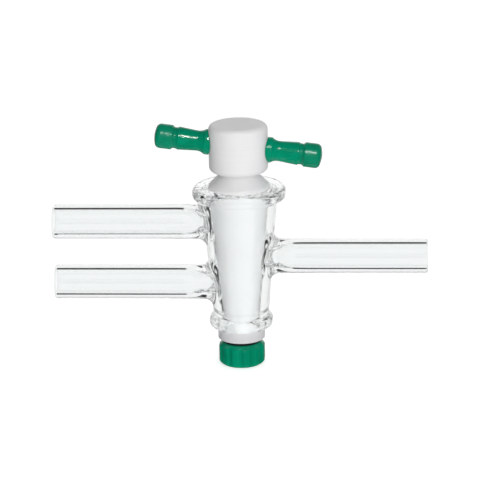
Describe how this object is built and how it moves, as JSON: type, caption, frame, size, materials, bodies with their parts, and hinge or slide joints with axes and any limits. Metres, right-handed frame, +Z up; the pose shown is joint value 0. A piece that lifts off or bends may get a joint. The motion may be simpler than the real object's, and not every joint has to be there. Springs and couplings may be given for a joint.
{
  "type": "glass stopcock",
  "caption": "Double-oblique glass stopcock: a tapered glass barrel with fused tube arms, a turning white plug with a bar handle, and a washer, ring and lock nut.",
  "frame": {"origin": "on the plug's axis at the lock nut's lower face, which is the centre of the box's lower side", "axes": "+Z up the plug's axis to the head, +X out along the single arm, +Y away from the side that the picture shows"},
  "size_m": [0.088, 0.022, 0.0587],
  "materials": {
    "clear_glass": "clear, fire-polished borosilicate glass",
    "white_ptfe": "turned white fluoropolymer, waxy satin",
    "green_plastic": "moulded green plastic with a fine grain",
    "black_rubber": "smooth black rubber"
  },
  "bodies": {
    "barrel": {"glass_body": "clear_glass"},
    "plug_set": {"plug": "white_ptfe", "handle_left": "green_plastic", "handle_right": "green_plastic", "washer": "white_ptfe", "seal_ring": "black_rubber", "lock_nut": "green_plastic"}
  },
  "joints": [
    {"name": "plug_turn", "type": "hinge", "parent": "barrel", "child": "plug_set", "pos_m": [0, 0, 0.0265], "axis": [0, 0, 1], "continuous": true}
  ]
}
